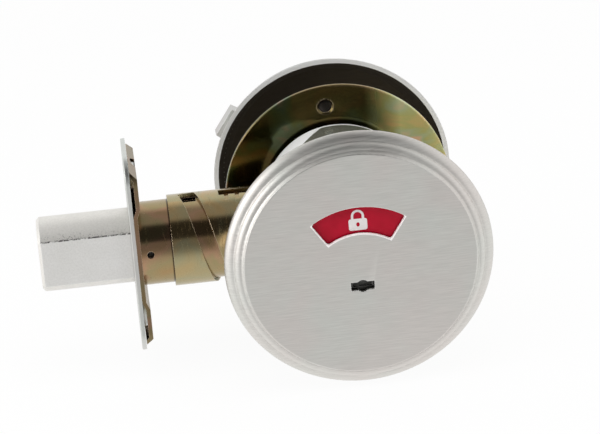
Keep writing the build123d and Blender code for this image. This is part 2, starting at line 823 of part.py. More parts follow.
# Thumbturn: hub, shaft and one sided lever, with bevelled edges
lever_angle = radians(180 - thumbturn_rest_angle)
shaft_start_y = cover_inner_y - thumbturn_shaft_reach
lever_plane = Plane(
    origin=(backset, lever_y, -spindle_drop),
    x_dir=(cos(lever_angle), 0, sin(lever_angle)),
    z_dir=(0, 1, 0),
)
with BuildPart() as thumbturn:
    with BuildSketch(lever_plane):
        Circle(thumbturn_root_radius)
        with Locations((thumbturn_lever_length - thumbturn_tip_width / 2, 0)):
            Rectangle(thumbturn_tip_width, thumbturn_tip_width)
        make_hull()
    extrude(amount=thumbturn_lever_thickness)
    chamfer(thumbturn.faces().sort_by(Axis.Y)[-1].edges(), thumbturn_bevel)
    with BuildSketch(facing_y(cover_face_y + thumbturn_gap)):
        with Locations(spindle):
            Circle(thumbturn_hub_radius)
    extrude(amount=thumbturn_gap - thumbturn_lever_start - thumbturn_hub_sink)
    with BuildSketch(facing_y(shaft_start_y)):
        with Locations(spindle):
            Circle(thumbturn_shaft_radius)
    extrude(amount=shaft_start_y - lever_y)
    with BuildSketch(facing_y(shaft_start_y)):
        with Locations(spindle):
            Rectangle(*tail_hole)
    extrude(amount=shaft_start_y - tailpiece_back_y - seat_gap, mode=Mode.SUBTRACT)
finish(thumbturn.part, "thumbturn")

with BuildPart() as thumbturn_washer:
    with BuildSketch(facing_y(cover_inner_y - seat_gap)):
        with Locations(spindle):
            Circle(washer_radius)
            Circle(thumbturn_shaft_radius + groove_fit, mode=Mode.SUBTRACT)
    extrude(amount=washer_thickness)
finish(thumbturn_washer.part, "thumbturn_washer")

with BuildPart() as thumbturn_clip:
    with BuildSketch(facing_y(cover_inner_y - seat_gap - washer_thickness)):
        with Locations(spindle):
            Circle(thumbturn_shaft_radius + clip_width)
            Circle(thumbturn_shaft_radius + groove_fit, mode=Mode.SUBTRACT)
        with Locations((backset, -spindle_drop - thumbturn_shaft_radius - clip_width / 2)):
            Rectangle(thumbturn_shaft_radius, clip_width + cut_past, mode=Mode.SUBTRACT)
    extrude(amount=clip_thickness)
finish(thumbturn_clip.part, "thumbturn_clip")

# Mounting screws: through the cover and the support plate into the housing's bosses
screw_tip_y = boss_end_y - screw_engagement
with BuildPart() as mounting_screws:
    with BuildSketch(facing_y(screw_tip_y)):
        with Locations(*boss_places):
            Circle(mount_screw_radius)
    extrude(amount=screw_tip_y - cover_inner_y - screw_head_sink)
    with BuildSketch(facing_y(cover_inner_y + screw_head_sink)):
        with Locations(*boss_places):
            Circle(screw_head_radius)
    extrude(amount=screw_head_sink - cover_wall)
    with BuildSketch(facing_y(cover_face_y)):
        with Locations(*boss_places):
            Rectangle(screw_slot_width, 2 * screw_head_radius + cut_past)
    extrude(amount=screw_slot_depth, mode=Mode.SUBTRACT)
finish(mounting_screws.part, "mounting_screws")
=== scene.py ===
# %% [markdown]
# # A deadbolt with an occupied indicator
#
# The lock is modelled in CAD and packed, with every piece in its place. This notebook dresses it:
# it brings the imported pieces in, gives each one the finish of the real metal, prints the marks on
# the labels behind the window, and sets up the studio and the camera. Everything is in metres, and
# X runs into the door, Y towards the thumbturn and Z up.

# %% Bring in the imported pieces
from math import cos, pi, radians, sin

import bmesh
import bpy
from mathutils import Matrix, Vector


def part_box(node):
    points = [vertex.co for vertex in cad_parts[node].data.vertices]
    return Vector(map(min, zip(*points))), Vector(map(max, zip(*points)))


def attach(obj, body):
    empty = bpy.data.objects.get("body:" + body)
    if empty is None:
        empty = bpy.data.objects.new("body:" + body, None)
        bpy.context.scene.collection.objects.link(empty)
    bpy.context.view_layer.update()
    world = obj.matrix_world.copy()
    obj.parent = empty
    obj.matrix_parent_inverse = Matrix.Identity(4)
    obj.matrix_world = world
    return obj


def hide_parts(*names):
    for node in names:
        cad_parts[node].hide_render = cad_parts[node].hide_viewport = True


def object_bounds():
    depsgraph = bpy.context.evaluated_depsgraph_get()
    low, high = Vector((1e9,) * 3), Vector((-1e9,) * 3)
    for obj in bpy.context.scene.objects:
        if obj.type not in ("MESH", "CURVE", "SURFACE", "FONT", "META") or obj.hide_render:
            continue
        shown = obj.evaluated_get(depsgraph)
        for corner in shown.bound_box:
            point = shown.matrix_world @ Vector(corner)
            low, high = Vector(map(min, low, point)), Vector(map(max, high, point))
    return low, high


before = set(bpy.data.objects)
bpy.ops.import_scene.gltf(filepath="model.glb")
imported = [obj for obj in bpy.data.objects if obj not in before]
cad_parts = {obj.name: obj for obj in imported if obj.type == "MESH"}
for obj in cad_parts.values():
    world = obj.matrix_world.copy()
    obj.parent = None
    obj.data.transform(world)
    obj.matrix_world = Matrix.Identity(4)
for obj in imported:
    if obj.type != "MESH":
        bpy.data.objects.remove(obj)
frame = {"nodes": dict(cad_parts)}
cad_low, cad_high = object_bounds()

nodes = frame["nodes"]

# %% [markdown]
# Sizes are easier to read in millimetres, as on a drawing, so one small value turns them into
# metres where they are used. The faces that the printed marks sit on are read from the pieces
# themselves, so that they stay right when the lock changes.

# %% Millimetres and the places read from the pieces
mm = 0.001


def low(name):
    return Vector(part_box(name)[0])


def high(name):
    return Vector(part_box(name)[1])


def middle(name):
    return (low(name) + high(name)) / 2


spindle = middle("tailpiece")
print("spindle at X", round(spindle.x / mm, 2), "Z", round(spindle.z / mm, 2))

# %% [markdown]
# ## The two pressed cups
#
# The front disc and the inside cover are shallow cups, pressed from sheet, and their skirts lean in
# a little behind the widest circle, so that from the front that circle is all that shows. The
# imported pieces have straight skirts. A leaning skirt is only a change of radius, so each cup is a
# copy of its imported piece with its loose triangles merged, and whole rings of it are scaled about
# the trim's axis. Rings further from the widest circle are pulled in more. The copy then takes the
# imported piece's place, and a Weighted Normal modifier keeps its flat face flat to the eye.

# %% Cups with leaning skirts
trim_x = middle("support_plate").x
lean = 0.43


def axis_distance(vertex):
    return Vector((vertex.co.x - trim_x, vertex.co.z)).length


def leaning_cup(name, widest_y, end_y, fade_y, least_radius):
    """Copies a cup and pulls its rings in, from none at widest_y to the most at end_y.

    Past end_y the pull fades out again, to none at fade_y.
    """
    mesh = bmesh.new()
    mesh.from_mesh(nodes[name].data)
    bmesh.ops.remove_doubles(mesh, verts=mesh.verts, dist=0.001 * mm)
    rings = {}
    for vertex in mesh.verts:
        if axis_distance(vertex) > least_radius:
            rings.setdefault(round(vertex.co.y / mm, 2), []).append(vertex)
    for ring_y, ring in rings.items():
        along = (ring_y * mm - widest_y) / (end_y - widest_y)
        fade = 1.0 if along <= 1 else max(0.0, (fade_y - ring_y * mm) / (fade_y - end_y))
        pull = max(0.0, min(1.0, along)) * fade * lean * abs(end_y - widest_y)
        outer = max(axis_distance(vertex) for vertex in ring)
        bmesh.ops.scale(
            mesh, verts=ring, vec=((outer - pull) / outer, 1, (outer - pull) / outer),
            space=Matrix.Translation((-trim_x, 0, 0)),
        )
    data = bpy.data.meshes.new(name + "_cup")
    mesh.to_mesh(data)
    mesh.free()
    data.shade_smooth()
    data.set_sharp_from_angle(angle=radians(28))
    cup = bpy.data.objects.new(name + "_cup", data)
    bpy.context.scene.collection.objects.link(cup)
    shading = cup.modifiers.new("even shading", "WEIGHTED_NORMAL")
    shading.keep_sharp = True
    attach(cup, "case")
    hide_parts(name)
    nodes[name + "_cup"] = cup
    print(cup.name, "has", len(rings), "rings past", round(least_radius / mm, 1), "mm")
    return cup


front_cup = leaning_cup(
    "indicator_rose", widest_y=-26.33 * mm, end_y=-22.225 * mm, fade_y=-22.0 * mm, least_radius=32.0 * mm
)
back_cup = leaning_cup(
    "thumbturn_rose", widest_y=38.525 * mm, end_y=43.4 * mm, fade_y=45.4 * mm, least_radius=30.9 * mm
)

# %% [markdown]
# ## Shader nodes in a few lines
#
# A procedural finish is a small network of nodes. Written out link by link it is long, so these
# helpers add one node, set its values and join its inputs. A value that is the same everywhere on
# a surface goes straight to the shader's own socket.

# %% Node helpers


def add_node(tree, kind, **values):
    node = tree.nodes.new(kind)
    for name, value in values.items():
        setattr(node, name, value)
    return node


def join(tree, socket, value):
    """Links another node's output to a socket, or sets the socket to a plain value."""
    if isinstance(value, bpy.types.NodeSocket):
        tree.links.new(value, socket)
    else:
        socket.default_value = value


def feed(tree, node, **inputs):
    """Joins inputs by name. An underscore in a name stands for a space."""
    for name, value in inputs.items():
        join(tree, node.inputs[name.replace("_", " ")], value)
    return node


def object_point(tree, scale=(1, 1, 1)):
    """Object coordinates, stretched before a pattern reads them."""
    place = add_node(tree, "ShaderNodeTexCoord")
    mapping = add_node(tree, "ShaderNodeMapping")
    feed(tree, mapping, Vector=place.outputs["Object"], Scale=scale)
    return mapping.outputs["Vector"]


def noise(tree, vector, scale, detail=2.0, roughness=0.5, distortion=0.0):
    node = add_node(tree, "ShaderNodeTexNoise")
    feed(tree, node, Vector=vector, Scale=scale, Detail=detail, Roughness=roughness, Distortion=distortion)
    return node.outputs["Fac"]


def remap(tree, value, from_low, from_high, to_low, to_high):
    node = add_node(tree, "ShaderNodeMapRange")
    feed(tree, node, Value=value, From_Min=from_low, From_Max=from_high, To_Min=to_low, To_Max=to_high)
    return node.outputs["Result"]


def math(tree, operation, first, second=0.0):
    node = add_node(tree, "ShaderNodeMath", operation=operation)
    join(tree, node.inputs[0], first)
    join(tree, node.inputs[1], second)
    return node.outputs["Value"]


def mix_colour(tree, factor, first, second, blend="MIX"):
    node = add_node(tree, "ShaderNodeMix", data_type="RGBA", blend_type=blend)
    for index, value in ((0, factor), (6, first), (7, second)):
        join(tree, node.inputs[index], value)
    return node.outputs[2]


def ramp(tree, value, *stops):
    node = add_node(tree, "ShaderNodeValToRGB")
    tree.links.new(value, node.inputs["Fac"])
    points = node.color_ramp.elements
    while len(points) < len(stops):
        points.new(0.5)
    for point, (place, colour) in zip(points, stops):
        point.position = place
        point.color = colour
    return node.outputs["Color"]


def separate_point(tree):
    """X, Y and Z of the Object coordinates."""
    place = add_node(tree, "ShaderNodeTexCoord")
    parts = add_node(tree, "ShaderNodeSeparateXYZ")
    tree.links.new(place.outputs["Object"], parts.inputs["Vector"])
    return parts.outputs


def length_of(tree, first, second):
    """How far a point lies that is first to one side and second up."""
    sides = add_node(tree, "ShaderNodeCombineXYZ")
    feed(tree, sides, X=first, Y=second)
    length = add_node(tree, "ShaderNodeVectorMath", operation="LENGTH")
    tree.links.new(sides.outputs["Vector"], length.inputs[0])
    return length.outputs["Value"]


print("node helpers ready")

# %% [markdown]
# ## Shared effects
#
# Four effects come back in more than one metal, so each is built once as a node group. A sheet
# that was drawn over an abrasive belt has fine straight lines, long one way and thin the other.
# Yellow zinc has cloudy patches where its film is thicker. Every real edge is a little round: the
# Bevel node finds edges and gives their rounded normal, and also a mask that the metals use to paint
# a pale line along them, a painted highlight. And a mask tells the inside of the two pressed cups
# from their outside by distance from the trim's axis and depth below the face, so that the metals
# can paint the inside dark, a painted shade of the hollow.

# %% Groups: brushed lines, cloudy film, soft edges and cup inside


def new_group(name, inputs, outputs):
    group = bpy.data.node_groups.new(name, "ShaderNodeTree")
    for label, kind, value in inputs:
        socket = group.interface.new_socket(name=label, in_out="INPUT", socket_type=kind)
        socket.default_value = value
    for label, kind in outputs:
        group.interface.new_socket(name=label, in_out="OUTPUT", socket_type=kind)
    return group, add_node(group, "NodeGroupInput"), add_node(group, "NodeGroupOutput")


brushed_lines, start, end = new_group(
    "Brushed lines",
    [("Stretch", "NodeSocketVector", (1, 1, 1)), ("Cloud size", "NodeSocketFloat", 60.0)],
    [("Lines", "NodeSocketFloat"), ("Cloud", "NodeSocketFloat")],
)
stretched = object_point(brushed_lines, scale=start.outputs["Stretch"])
fine = noise(brushed_lines, stretched, 1.0, detail=4.0, roughness=0.65)
cloud = noise(brushed_lines, object_point(brushed_lines), start.outputs["Cloud size"])
feed(brushed_lines, end, Lines=fine, Cloud=cloud)

cloudy_film, start, end = new_group(
    "Cloudy film",
    [("Patch size", "NodeSocketFloat", 60.0)],
    [("Patches", "NodeSocketFloat"), ("Grain", "NodeSocketFloat")],
)
film_point = object_point(cloudy_film)
patches = noise(cloudy_film, film_point, start.outputs["Patch size"], detail=3.0, distortion=0.6)
grain = noise(cloudy_film, film_point, 2600.0, detail=3.0, roughness=0.7)
feed(cloudy_film, end, Patches=patches, Grain=grain)

soft_edges, start, end = new_group(
    "Soft edges",
    [("Radius", "NodeSocketFloat", 0.0002)],
    [("Edge", "NodeSocketFloat"), ("Normal", "NodeSocketVector")],
)
rounded = add_node(soft_edges, "ShaderNodeBevel", samples=6)
soft_edges.links.new(start.outputs["Radius"], rounded.inputs["Radius"])
flat = add_node(soft_edges, "ShaderNodeNewGeometry")
agree = add_node(soft_edges, "ShaderNodeVectorMath", operation="DOT_PRODUCT")
soft_edges.links.new(rounded.outputs["Normal"], agree.inputs[0])
soft_edges.links.new(flat.outputs["Normal"], agree.inputs[1])
edge = remap(soft_edges, agree.outputs["Value"], 0.995, 0.85, 0.0, 1.0)
feed(soft_edges, end, Edge=edge, Normal=rounded.outputs["Normal"])

cup_inside, start, end = new_group(
    "Cup inside",
    [
        ("Axis X", "NodeSocketFloat", 0.0),
        ("Face Y", "NodeSocketFloat", 0.0),
        ("Towards rim", "NodeSocketFloat", 1.0),
        ("Face radius", "NodeSocketFloat", 0.03),
        ("Inner radius", "NodeSocketFloat", 0.035),
        ("Wall", "NodeSocketFloat", 0.001),
        ("Depth", "NodeSocketFloat", 0.009),
        ("Widest depth", "NodeSocketFloat", 0.009),
        ("Lean", "NodeSocketFloat", 0.0),
    ],
    [("Inside", "NodeSocketFloat"), ("Bead", "NodeSocketFloat"), ("Lip", "NodeSocketFloat")],
)
bead_slope, lip_depth = 0.86, 0.3 * mm
point = separate_point(cup_inside)
beside_axis = math(cup_inside, "SUBTRACT", point["X"], start.outputs["Axis X"])
reach = length_of(cup_inside, beside_axis, point["Z"])
from_face = math(cup_inside, "SUBTRACT", point["Y"], start.outputs["Face Y"])
depth = math(cup_inside, "MULTIPLY", from_face, start.outputs["Towards rim"])
past_face = math(cup_inside, "SUBTRACT", reach, start.outputs["Face radius"])
bead_depth = math(cup_inside, "MULTIPLY", past_face, bead_slope)
bead_middle = math(cup_inside, "ADD", bead_depth, start.outputs["Wall"])
limit = math(cup_inside, "MAXIMUM", bead_middle, start.outputs["Wall"])
deep = math(cup_inside, "GREATER_THAN", depth, limit)
off_widest = math(cup_inside, "SUBTRACT", depth, start.outputs["Widest depth"])
leaned = math(cup_inside, "MULTIPLY", math(cup_inside, "ABSOLUTE", off_widest), start.outputs["Lean"])
wall_radius = math(cup_inside, "SUBTRACT", start.outputs["Inner radius"], leaned)
within = math(cup_inside, "LESS_THAN", reach, wall_radius)
inside = math(cup_inside, "MULTIPLY", deep, within)
on_bead = math(cup_inside, "GREATER_THAN", past_face, 0.0)
lip_start = math(cup_inside, "SUBTRACT", start.outputs["Depth"], lip_depth)
at_rim = math(cup_inside, "GREATER_THAN", depth, lip_start)
feed(cup_inside, end, Inside=inside, Bead=on_bead, Lip=math(cup_inside, "SUBTRACT", at_rim, inside))
print("groups", [g.name for g in (brushed_lines, cloudy_film, soft_edges, cup_inside)])

# %% [markdown]
# ## Starting a metal
#
# All the metals begin the same way: a Principled shader with its own steady values, and the soft
# edge group set to the size of that piece's edges. A function gives back the tree, the shader and
# the edge group, and each finish then adds what is its own.

# %% Start a material


def new_material(name, roughness=0.4, metallic=1.0, edge_radius=0.15, **shader_values):
    material = bpy.data.materials.new(name)
    material.use_nodes = True
    tree = material.node_tree
    shader = tree.nodes["Principled BSDF"]
    feed(tree, shader, Roughness=roughness, Metallic=metallic, **shader_values)
    edges = add_node(tree, "ShaderNodeGroup", node_tree=soft_edges)
    feed(tree, edges, Radius=edge_radius * mm)
    return material, tree, shader, edges


def bump(tree, height, normal, depth):
    """Depth is the real height of the marks, in millimetres."""
    node = add_node(tree, "ShaderNodeBump")
    feed(tree, node, Height=height, Normal=normal, Distance=depth * mm, Strength=1.0)
    return node.outputs["Normal"]


def dress(material, *names):
    for name in names:
        piece = nodes[name]
        if not piece.material_slots:
            piece.data.materials.append(material)
        for slot in piece.material_slots:
            slot.material = material
    print(material.name, "on", ", ".join(names))


print("every finish starts with the group", soft_edges.name)

# %% [markdown]
# ## Brushed trim
#
# The front disc, the inside cover and the thumbturn are steel, drawn over a belt in one direction
# after they were pressed. The lines run along X, and along Z on the faceplate, about a third of a
# millimetre apart and several millimetres long. The colour changes a little with them, and larger
# clouds wander from warm to cool grey. A streaked bump alone would sparkle at this size, so the
# lines also change the roughness, which is what widens the highlight on real brushed steel. On the
# bead round each cup's face the bump is much weaker, because there it would break up the
# reflections of the room. Inside the two cups the colour is painted dark, a painted shade of the
# hollow, and the steel is duller there. Along the edges the colour turns pale, a painted highlight.

# %% Brushed trim
cup_wall, cup_play = 1.1 * mm, 0.08 * mm
bead_width, bead_roughening, bead_evenness = 4.9 * mm, 0.06, 0.9
# Painted shade: the dark colour inside the cups stands in for the shade in their hollow.
inside_shade_colour, inside_roughening = (0.100, 0.084, 0.064, 1), 0.30
# The pale, dull colour on the cups' rims and edges is a painted highlight.
lip_highlight_colour, lip_dullness, edge_highlight_share = (0.90, 0.90, 0.885, 1), 0.85, 0.75


def cup_mask(tree, cup):
    face_y, towards_rim, outer_radius, inner_radius, depth, widest_depth = cup
    mask = add_node(tree, "ShaderNodeGroup", node_tree=cup_inside)
    feed(
        tree, mask, Axis_X=trim_x, Face_Y=face_y, Towards_rim=towards_rim,
        Face_radius=outer_radius - bead_width - 0.2 * mm, Inner_radius=inner_radius + cup_play,
        Wall=cup_wall, Depth=depth, Widest_depth=widest_depth, Lean=lean,
    )
    return mask.outputs


def finish_cup(tree, shader, mask, edge, colour, rough):
    """Painted shade inside the cup, a rougher bead round its face, and a painted highlight, pale and dull,
    on its rim and edges.
    """
    inside = mask["Inside"]
    outside = math(tree, "SUBTRACT", 1.0, inside)
    # Painted highlight: the rim and the edges outside the cup are painted pale and dull.
    highlighted_edge = math(tree, "MULTIPLY", math(tree, "MULTIPLY", edge, edge_highlight_share), outside)
    lip = math(tree, "MAXIMUM", mask["Lip"], highlighted_edge)
    rough = math(tree, "ADD", rough, math(tree, "MULTIPLY", mask["Bead"], bead_roughening))
    rough = math(tree, "ADD", rough, math(tree, "MULTIPLY", inside, inside_roughening))
    # Painted shade inside the cup.
    steel = mix_colour(tree, inside, colour, inside_shade_colour)
    dull = math(tree, "MULTIPLY", lip, lip_dullness)
    feed(
        tree, shader, Roughness=rough, Base_Color=mix_colour(tree, lip, steel, lip_highlight_colour),
        Metallic=math(tree, "SUBTRACT", 1.0, dull),
    )


def brushed_metal(
    name, dark, light, stretch, roughness, edge_radius=0.2, lines_depth=0.004, cup=None, edge_highlight=0.35
):
    material, tree, shader, edges = new_material(name, edge_radius=edge_radius, roughness=roughness)
    brushing = add_node(tree, "ShaderNodeGroup", node_tree=brushed_lines)
    feed(tree, brushing, Stretch=stretch, Cloud_size=55.0)
    lines = brushing.outputs["Lines"]
    line_colour = ramp(tree, lines, (0.32, dark), (0.68, light))
    warm = ramp(
        tree, brushing.outputs["Cloud"], (0.35, (0.97, 1.0, 0.985, 1)), (0.65, (1.0, 0.972, 0.965, 1))
    )
    colour = mix_colour(tree, 1.0, line_colour, warm, "MULTIPLY")
    # Painted highlight: the colour turns pale along the edges.
    edge_light = math(tree, "MULTIPLY", edges.outputs["Edge"], edge_highlight)
    edge_lit = mix_colour(tree, edge_light, colour, (0.93, 0.93, 0.92, 1))
    rough = remap(tree, lines, 0.3, 0.7, roughness - 0.05, roughness + 0.06)
    height = lines
    if cup:
        mask = cup_mask(tree, cup)
        evened = math(tree, "MULTIPLY", mask["Bead"], bead_evenness)
        height = math(tree, "MULTIPLY", lines, math(tree, "SUBTRACT", 1.0, evened))
    normal = bump(tree, height, edges.outputs["Normal"], lines_depth)
    feed(tree, shader, Base_Color=edge_lit, Roughness=rough, Normal=normal)
    if cup:
        finish_cup(tree, shader, mask, edges.outputs["Edge"], edge_lit, rough)
    return material


# Each cup's face, the way from face to rim, outer and inner radius, whole depth and depth at its widest.
disc_cup = (low("indicator_rose").y, 1.0, 36.5 * mm, 34.9 * mm, 8.8 * mm, 4.7 * mm)
cover_cup = (high("thumbturn_rose").y, -1.0, 34.3 * mm, 32.9 * mm, 9.2 * mm, 9.2 * mm)
along_x, along_z = (140, 900, 3200), (900, 3200, 160)
brushed_disc = brushed_metal(
    "brushed_disc", (0.69, 0.675, 0.645, 1), (0.80, 0.785, 0.755, 1), along_x,
    roughness=0.40, edge_radius=0.3, cup=disc_cup, edge_highlight=0.8,
)
satin_cover = brushed_metal(
    "satin_cover", (0.66, 0.655, 0.64, 1), (0.76, 0.755, 0.74, 1), along_x, roughness=0.36, cup=cover_cup
)
satin_lever = brushed_metal(
    "satin_lever", (0.54, 0.535, 0.52, 1), (0.63, 0.625, 0.61, 1), along_x, roughness=0.33
)
satin_plate = brushed_metal(
    "satin_plate", (0.66, 0.66, 0.64, 1), (0.74, 0.74, 0.72, 1), along_z, roughness=0.40, edge_radius=0.3
)
dress(brushed_disc, "indicator_rose", "indicator_rose_cup")
dress(satin_cover, "thumbturn_rose", "thumbturn_rose_cup")
dress(satin_lever, "thumbturn")
dress(satin_plate, "faceplate")

# %% [markdown]
# Along the window's ends and its lower arc, which face the light, a thin pale line is painted on
# the disc, a painted highlight on the window's edge. The window is a piece of a ring about the
# spindle, so the line is where a point is about a quarter of a millimetre outside that piece:
# by radius for the arc, and by angle times radius for the ends.

# %% The window's painted highlight
window_middle, window_half, window_turn = 18.95 * mm, 3.85 * mm, radians(34)
highlight_width, disc_front = 0.26 * mm, low("indicator_rose").y + 0.9 * mm
tree = brushed_disc.node_tree
shader = tree.nodes["Principled BSDF"]
point = separate_point(tree)
beside = math(tree, "SUBTRACT", point["X"], spindle.x)
above = math(tree, "SUBTRACT", point["Z"], spindle.z)
reach = length_of(tree, beside, above)
off_middle = math(tree, "SUBTRACT", reach, window_middle - highlight_width / 2)
by_arc = math(tree, "LESS_THAN", math(tree, "ABSOLUTE", off_middle), window_half + highlight_width / 2)
angle = math(tree, "ABSOLUTE", math(tree, "ARCTAN2", beside, above))
past_end = math(tree, "MULTIPLY", math(tree, "SUBTRACT", angle, window_turn), reach)
by_end = math(tree, "LESS_THAN", past_end, highlight_width)
on_front = math(tree, "LESS_THAN", point["Y"], disc_front)
# Painted highlight along the window's lit edges.
window_highlight = math(tree, "MULTIPLY", math(tree, "MULTIPLY", by_arc, by_end), on_front)
steel = shader.inputs["Base Color"].links[0].from_socket
metal = shader.inputs["Metallic"].links[0].from_socket
feed(
    tree, shader, Base_Color=mix_colour(tree, window_highlight, steel, (0.97, 0.95, 0.94, 1)),
    Metallic=math(tree, "MULTIPLY", metal, math(tree, "SUBTRACT", 1.0, math(tree, "MULTIPLY", window_highlight, 0.9))),
)
print("window's middle radius", round(window_middle / mm, 2))

# %% [markdown]
# ## Yellow zinc
#
# The barrel and the plates inside the trim are steel with a yellow chromate film. The film is thin
# enough to colour by its thickness, so it drifts from straw through olive to a green and a rose
# tint, in patches about a centimetre wide. On the barrel the film is thinner and more even, tan on
# the tube and olive on the sleeve. A ramp over the patches gives the tints, and a fine grain in the
# roughness keeps the reflection from being a mirror's. Handling rubs the film in fine scuffs, which
# show as pale specks where a dark part of the room is reflected.

# %% Yellow zinc
around_x = (1500, 220, 220)


def yellow_zinc(
    name, tints, roughness, scuff, patch_size=75.0, grain_depth=0.002, scuff_stretch=around_x,
    edge_radius=0.2, edge_light=0.65, shade=None,
):
    """Shade, if given, is a function that adds the piece's own painted light and shade to the film's
    colour.
    """
    material, tree, shader, edges = new_material(name, edge_radius=edge_radius, roughness=roughness)
    film = add_node(tree, "ShaderNodeGroup", node_tree=cloudy_film)
    feed(tree, film, Patch_size=patch_size)
    colour = ramp(tree, film.outputs["Patches"], *tints)
    speckle = ramp(tree, film.outputs["Grain"], (0.3, (0.92, 0.92, 0.92, 1)), (0.7, (1, 1, 1, 1)))
    colour = mix_colour(tree, 1.0, colour, speckle, "MULTIPLY")
    if shade:
        colour = shade(tree, shader, colour)
    # Painted highlight: the film's colour turns pale tan along the edges.
    at_edge = math(tree, "MULTIPLY", edges.outputs["Edge"], edge_light)
    edge_lit = mix_colour(tree, at_edge, colour, (0.85, 0.70, 0.55, 1))
    scuffs = noise(tree, object_point(tree, scuff_stretch), 1.0, detail=3.0, roughness=0.6)
    rubbed = remap(tree, scuffs, 0.56, 0.72, 0.0, scuff)
    rough = remap(tree, film.outputs["Grain"], 0.3, 0.7, roughness - 0.03, roughness + 0.04)
    normal = bump(tree, film.outputs["Grain"], edges.outputs["Normal"], grain_depth)
    feed(tree, shader, Base_Color=edge_lit, Roughness=math(tree, "ADD", rough, rubbed), Normal=normal)
    return material


# The plate's tints are darker than the tube's, painted shade of the plate between the disc and the cover.
plate_tints = (
    (0.28, (0.36, 0.29, 0.10, 1)),
    (0.40, (0.38, 0.25, 0.09, 1)),
    (0.49, (0.22, 0.25, 0.08, 1)),
    (0.57, (0.20, 0.28, 0.16, 1)),
    (0.65, (0.44, 0.27, 0.17, 1)),
    (0.75, (0.38, 0.31, 0.10, 1)),
)
tube_tints = (
    (0.30, (0.40, 0.27, 0.13, 1)),
    (0.46, (0.36, 0.29, 0.15, 1)),
    (0.58, (0.46, 0.28, 0.17, 1)),
    (0.72, (0.36, 0.25, 0.11, 1)),
)
sleeve_tints = (
    (0.30, (0.46, 0.355, 0.18, 1)),
    (0.47, (0.40, 0.36, 0.21, 1)),
    (0.60, (0.48, 0.345, 0.17, 1)),
    (0.72, (0.40, 0.29, 0.13, 1)),
)
# Painted shade: the backing plate takes the tube's tints, painted darker.
shaded_backing_tints = tuple((place, (r * 0.62, g * 0.62, b * 0.66, 1)) for place, (r, g, b, a) in tube_tints)
gold_backing = yellow_zinc("gold_backing", shaded_backing_tints, roughness=0.22, scuff=0.15)
gold_sleeve = yellow_zinc("gold_sleeve", sleeve_tints, roughness=0.17, scuff=0.20)
dress(gold_backing, "backing_plate")
dress(gold_sleeve, "rear_case")

# %% [markdown]
# Two pieces have painted light and shade of their own. Round the hub the plate is painted darker,
# a painted shade, and its right side is painted paler and duller, a painted highlight where the
# light falls on it. On the tube, a dark line is painted in front of the sleeve's edge, a painted
# shadow of the sleeve. Each mark needs only a distance: from the trim's axis, along X from that
# axis, and from the sleeve's edge.

# %% Painted shade round the hub, painted light on the right, painted shadow by the sleeve
hub_shade_start, hub_shade_end = 23.0 * mm, 34.0 * mm
lit_side_start, lit_side_end, lit_side_dullness = trim_x + 9 * mm, trim_x + 19 * mm, 0.8
shadow_near, shadow_far, under_sleeve = 0.15 * mm, 0.50 * mm, -0.05 * mm


def trim_distance(tree, point):
    """Distance of a point from the trim's axis."""
    return length_of(tree, math(tree, "SUBTRACT", point["X"], trim_x), point["Z"])


def plate_shade_and_light(tree, shader, colour):
    point = separate_point(tree)
    # Painted shade: darker towards the hub.
    hub_shade = remap(tree, trim_distance(tree, point), hub_shade_start, hub_shade_end, 0.80, 0.28)
    # Painted highlight: paler and duller towards the right side.
    lit_side = remap(tree, point["X"], lit_side_start, lit_side_end, 0.0, 1.0)
    dull = math(tree, "MULTIPLY", lit_side, lit_side_dullness)
    feed(tree, shader, Metallic=math(tree, "SUBTRACT", 1.0, dull))
    clear = math(tree, "SUBTRACT", 1.0, lit_side)
    shaded = mix_colour(tree, math(tree, "MULTIPLY", hub_shade, clear), colour, (0.028, 0.022, 0.009, 1))
    brightened = mix_colour(tree, 1.0, shaded, (1.90, 1.80, 1.85, 1), "MULTIPLY")
    return mix_colour(tree, lit_side, shaded, mix_colour(tree, 0.25, brightened, (0.80, 0.62, 0.28, 1)))


# Painted shadow: a dark line on the tube just in front of the sleeve's edge.
def sleeve_shadow_line(tree, shader, colour):
    before = math(tree, "SUBTRACT", low("rear_case").x, separate_point(tree)["X"])
    near = remap(tree, before, shadow_near, shadow_far, 0.9, 0.0)
    outside = math(tree, "GREATER_THAN", before, under_sleeve)
    return mix_colour(tree, math(tree, "MULTIPLY", near, outside), colour, (0.03, 0.02, 0.012, 1))


gold_plate = yellow_zinc(
    "gold_plate", plate_tints, roughness=0.12, scuff=0.10, patch_size=74.0, grain_depth=0.0006,
    scuff_stretch=(260, 260, 900), edge_radius=0.35, edge_light=0.9, shade=plate_shade_and_light,
)
gold_tube = yellow_zinc("gold_tube", tube_tints, roughness=0.17, scuff=0.15, shade=sleeve_shadow_line)
dress(gold_plate, "support_plate")
dress(gold_tube, "front_tube", "tail_guide")

# %% [markdown]
# ## Bolt, housing and the small steel pieces
#
# The bolt is forged steel under a pale dull plating, grainy where it was tumbled, so it is much
# rougher than the trim and shows no clear reflection. The housing between the two sides is a zinc
# casting under a bright plating, so smooth that the gold plate shows in it, and its colour is
# given a green-yellow tint, a painted reflection of the gold plate.
# The pins, the clips and the screws are clear zinc, the cam and the indicator disc a duller one,
# and the plug behind the emergency slot is painted nearly black, a painted shade of the slot.

# %% Bolt, housing and small steel


